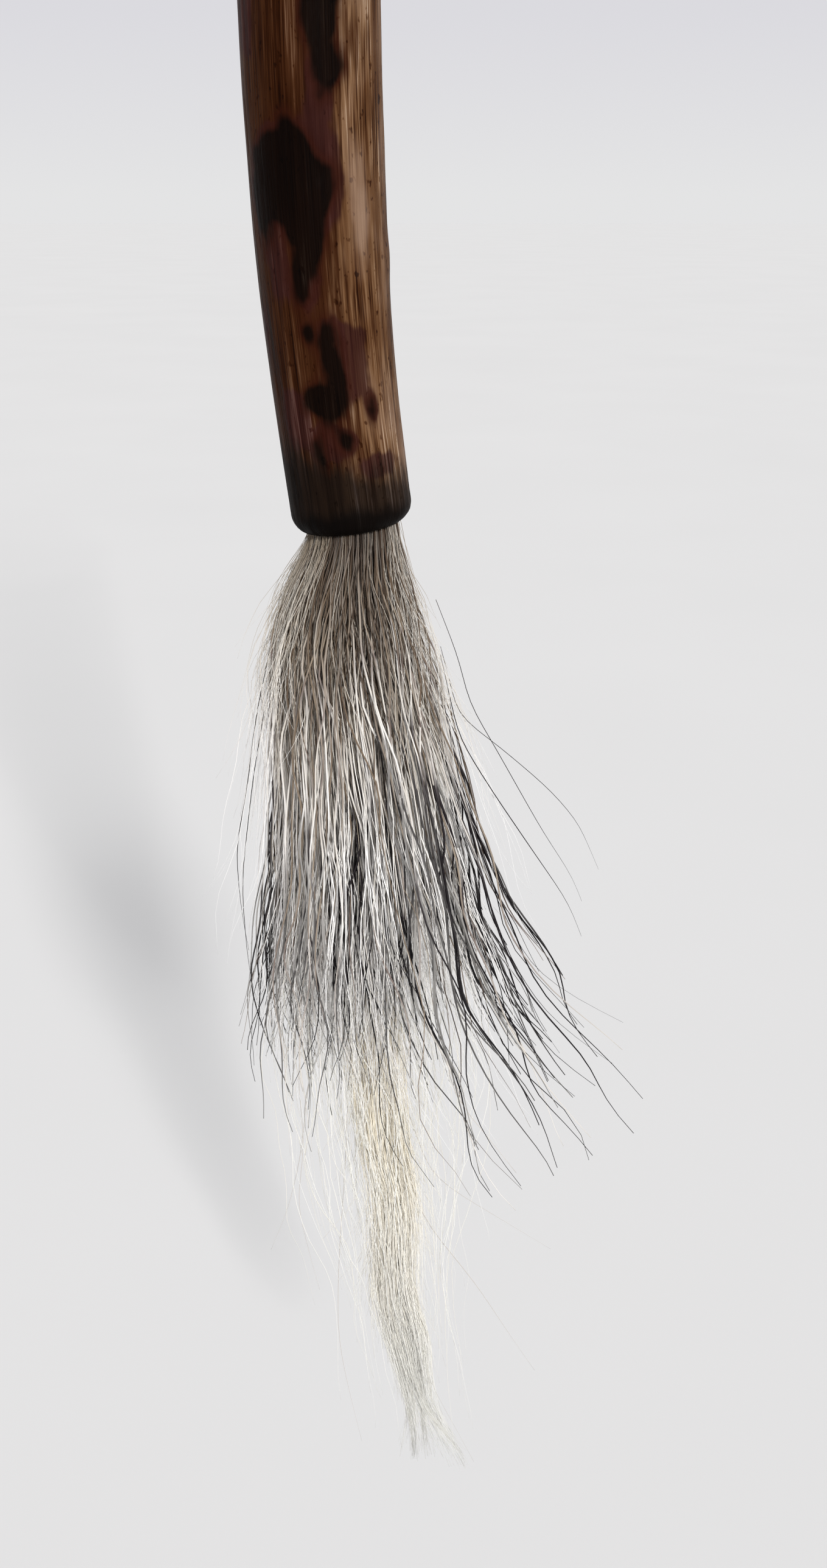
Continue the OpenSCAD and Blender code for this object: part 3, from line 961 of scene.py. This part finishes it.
# Loose hairs that stand away from the coat: the hair's radius, then the depth below the mouth, the X from
# the coat's centre and the Y of its points, in mm
STRAYS = [
    (0.06, [(14, 9.5, -2), (23.6, 11.7, -3), (30, 15.5, -3),
             (38, 20.7, -3), (44.5, 25, -3), (49, 26.7, -3)]),
    (0.045, [(8, 9, -1), (15, 11.7, -1), (20, 12.8, -1), (25.4, 15.9, -1),
             (32.7, 19.9, -1), (37, 22.3, -1), (42, 25.6, -1), (45.3, 26.8, -1)]),
    (0.04, [(14, 9.6, 1), (22.6, 11.8, 1), (25.4, 15.7, 1),
             (31.5, 22.6, 1), (35.8, 26.2, 1), (42, 28.9, 1)]),
    (0.055, [(12, -9.2, -1), (22, -11.6, -1), (30, -12.8, -1),
             (38.5, -14.6, -1), (46.6, -14.3, -1), (52, -13.6, -1)]),
    (0.05, [(14, -9.2, 1), (30, -12.4, 1), (44, -14.4, 1), (56, -14, 1), (63, -12.6, 1)]),
    (0.05, [(20, 10.5, 2), (40, 14.4, 2), (47, 16.9, 2),
             (56, 21.2, 2), (60, 26, 2), (64, 33.2, 2)]),
    (0.06, [(20, 10, -2), (40, 14, -2), (52, 18, -2),
             (60, 22.6, -2), (64.5, 27.5, -2), (67.5, 31.5, -2)]),
]

# The same for the faint long hairs that leave the central hair below the coat
TIP_STRAYS = [
    (0.045, [(62, 3.6, 0), (74, 5.2, 0), (80, 7, 0), (84, 8.2, 0),
             (87, 9.8, 0), (91, 15.3, 0), (98, 25, 0)]),
    (0.05, [(64, 2.4, 1), (80, 4.4, 1), (93.6, 7.6, 1),
             (105, 15.3, 1), (112, 19, 1), (120, 23.6, 1)]),
    (0.04, [(66, 1.5, -1), (90, 3.4, -1), (108, 5.8, -1),
             (120, 8.6, -1), (126, 11.4, -1), (135, 15.2, -1)]),
    (0.04, [(66, -1.5, 0), (84, -2.4, 0), (100, -3.6, 0),
             (112, -4, 0), (119, -3.2, 0), (132, -0.9, 0)]),
    (0.04, [(62, -5, 1), (74, -7.2, 1), (84, -8.4, 1), (92, -10.2, 1), (99, -12.8, 1)]),
    (0.035, [(60, -7, -1), (70, -8.2, -1), (80, -7.6, -1),
             (90, -8.8, -1), (98, -7.4, -1), (104, -6.2, -1)]),
]


def loose_hairs(name, hairs, along, tone, material, bend):
    """The few long hairs that stand clear of the rest, from a table of their points.

    Along is the stretch of the material's colours that they take.
    """
    points = 26
    paths = []
    for _, table in hairs:
        s, x, y = np.array(table, float).T
        at = np.linspace(s[0], s[-1], points)
        sx = np.interp(at, s, x)
        for _ in range(3):
            sx[1:-1] = (sx[:-2] + 2 * sx[1:-1] + sx[2:]) / 4
        paths.append(np.stack([MOUTH[0] + sx, np.interp(at, s, y), MOUTH[2] - at], -1))
    thick = np.array([r for r, _ in hairs])
    place = np.repeat(np.linspace(*along, points)[None], len(hairs), 0)
    ob = strand_mesh(name, np.array(paths), taper(points, thick), place, np.full(len(hairs), tone))
    finish_layer(ob, material, bend)


def core_drift(s):
    """How far the free core hangs beside the tuft's smooth middle line, in mm."""
    # Depth, half the length and size of each bend
    bumps = ((88, 7, 0.5), (106, 11, -1.1), (122, 6, -0.4))
    left = -0.5 * smooth(s, 50, 68) * (1 - smooth(s, 76, 92))
    return left + sum(size * np.exp(-((s - at) / wide) ** 2) for at, wide, size in bumps)


# Locks that the very tip of the central hair parts into: angle, share of the radius, depth and hook
TIP_LOCKS = [
    (180, 0.8, 136, -4.5), (200, 0.3, 133, -1.2), (-90, 0.6, 136, 0.8),
    (10, 0.5, 136, 2.6), (20, 0.9, 132, 5),
]


def make_core():
    """The long cream hair in the middle, in one piece above the coat's hem and one below it."""
    rng = np.random.default_rng(19)
    cream = cream_material()
    n, points = 2300, 22
    turn = rng.uniform(-np.pi, np.pi, n)
    no_sweep = np.zeros(n)
    tip = HAIR_LEN - rng.beta(1.0, 1.5, n) * 78
    hook = rng.normal(0, 2.8, n)
    own = rng.uniform(0, 1, n) ** 0.7
    made = lead_hairs(TIP_LOCKS, turn, own, tip, hook)
    hairs = Hairs(rng, turn, own, tip, no_sweep, hook, 0.3, 0.01, CORE, shift=0.0)
    s = hairs.depths(points)
    small = (hairs.nearest(rng, 26, 95, 0.5), 0.75 * rng.uniform(0.4, 1, n), 70, 128)
    large = (hairs.nearest(rng, 1, 118, 0.7, made), rng.uniform(0.6, 0.95, n), 100, 132)
    paths = hairs.paths(s, (small, large))
    paths[..., 0] += core_drift(s)
    radii = taper(points, rng.uniform(0.038, 0.06, n))
    along = np.clip(s / HAIR_LEN, 0, 1)
    split_strands(("core_hair_upper", "core_hair_tip"), paths, radii, along, rng.beta(2, 2, n),
                  points // 3 + 1, cream, ("core_belly", "core_tip"))
    make_wisps(rng, cream)


def make_wisps(rng, material):
    """Loose pale hair that runs on past the coat's hem on both sides of the cream core."""
    n, points = 210, 26
    turn = rng.uniform(-np.pi, np.pi, n)
    hairs = Hairs(rng, turn, rng.uniform(0.1, 0.9, n), 74 + 58 * rng.beta(1.2, 1.3, n), rng.normal(0, 2, n),
                  rng.normal(0, 4.0, n), 0.75, 0.03, start=42.0)
    s = hairs.depths(points)
    lock = (hairs.nearest(rng, 26, 90, 1.0), 0.85 * rng.uniform(0.5, 1, n), 60, 120)
    pinch = 1 - 0.5 * smooth(s, 62, 125)[..., None]
    paths = hairs.paths(s, (lock,))
    middle = np.stack([MOUTH[0] + axis_x(s), s * 0], -1)
    paths[..., :2] = middle + (paths[..., :2] - middle) * pinch
    radii = taper(points, rng.uniform(0.028, 0.05, n))
    ob = strand_mesh("core_hair_wisps", paths, radii, np.clip(0.75 + s / 500, 0, 1), rng.uniform(0, 0.7, n))
    finish_layer(ob, material, bend_at_tip)


def split_strands(names, paths, radii, along, tone, cut, material, nodes):
    """Two pieces of the same hairs, which meet at point number cut."""
    halves = (slice(None, cut + 1), slice(cut, None))
    for name, half, node, bend in zip(names, halves, nodes, (bend_at_root, bend_at_tip)):
        ob = strand_mesh(name, paths[:, half], radii[:, half], along[:, half], tone)
        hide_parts(node)
        finish_layer(ob, material, bend)


dress_inner_parts()
make_handle()
make_coat()
make_core()


# ---------------- camera, floor and light
# Width over height of the picture, the lens and the sensor's long side in mm, how far the camera looks
# down, where the handle's mouth stands in the picture, as shares of it from the left and from the top,
# and how far from the camera it is, in mm
IMAGE_SHAPE = 1359 / 2576
LENS = 33.54
SENSOR = 36.0
PITCH = math.radians(22)
MOUTH_SHARE = (0.428, 0.3355)
MOUTH_FAR = 160.0
# Half the width of the floor, and how far below the hair's tip it lies, in mm
FLOOR_HALF = 12000.0
FLOOR_GAP = 45.0


def place_camera():
    """A camera that looks down at the brush, with the mouth of the handle left of and above the middle."""
    data = bpy.data.cameras.new("camera")
    data.sensor_width = SENSOR
    data.lens = LENS
    data.clip_start = 0.01
    data.clip_end = 50
    cam = add_object("camera", data)
    right = Vector((1, 0, 0))
    forward = Vector((0, math.cos(PITCH), -math.sin(PITCH)))
    up = Vector((0, math.sin(PITCH), math.cos(PITCH)))
    across = (MOUTH_SHARE[0] - 0.5) * IMAGE_SHAPE * SENSOR / LENS * MOUTH_FAR
    above = (0.5 - MOUTH_SHARE[1]) * SENSOR / LENS * MOUTH_FAR
    spot = Vector(MOUTH) - forward * MOUTH_FAR - up * above - right * across
    cam.location = spot * MM
    cam.rotation_euler = (math.pi / 2 - PITCH, 0, 0)
    bpy.context.scene.camera = cam


def make_floor():
    """A large pale floor a little way under the hair's tip."""
    corners = ((-1, -1), (1, -1), (1, 1), (-1, 1))
    verts = np.array([(x * FLOOR_HALF, y * FLOOR_HALF, TIP_END - FLOOR_GAP) for x, y in corners])
    floor = build_mesh("floor", verts, np.array([[0, 1, 2, 3]]))
    n = new_material("floor_paper")
    coord = n.add("TexCoord").outputs["Object"]
    mottle = n.noise(coord, (5, 5, 5), 3)
    colour = n.ramp(mottle, [(0.3, (0.775, 0.775, 0.775)), (0.7, (0.79, 0.79, 0.79))])
    floor.data.materials.append(n.finish(colour, 0.9, Specular_IOR_Level=0.0))


def sun_light(name, towards, strength, spread, colour):
    """A distant light from the direction towards, as wide as spread in degrees."""
    data = bpy.data.lights.new(name, "SUN")
    data.energy = strength
    data.angle = math.radians(spread)
    data.color = colour
    lamp = add_object(name, data)
    lamp.rotation_euler = Vector(towards).to_track_quat("Z", "Y").to_euler()


def light_scene():
    """Soft daylight: a pale sky that meets the floor's own tone, and a broad light from the right."""
    world = bpy.data.worlds.new("sky")
    bpy.context.scene.world = world
    n = Nodes(world)
    split = n.add("SeparateXYZ")
    n.put(n.add("TexCoord").outputs["Generated"], split.inputs[0])
    sky = n.ramp(split.outputs[2], [
        (0.0, (0.775, 0.775, 0.78)), (0.1, (0.71, 0.705, 0.74)), (0.55, (0.6, 0.6, 0.61))])
    background = n.tree.nodes["Background"].inputs
    n.put(sky, background["Color"])
    n.put(1.0, background["Strength"])
    sun_light("window", (65, -199, 100), 2.75, 8, (1.0, 0.985, 0.96))


place_camera()
make_floor()
light_scene()
bpy.context.scene.view_settings.view_transform = "Standard"
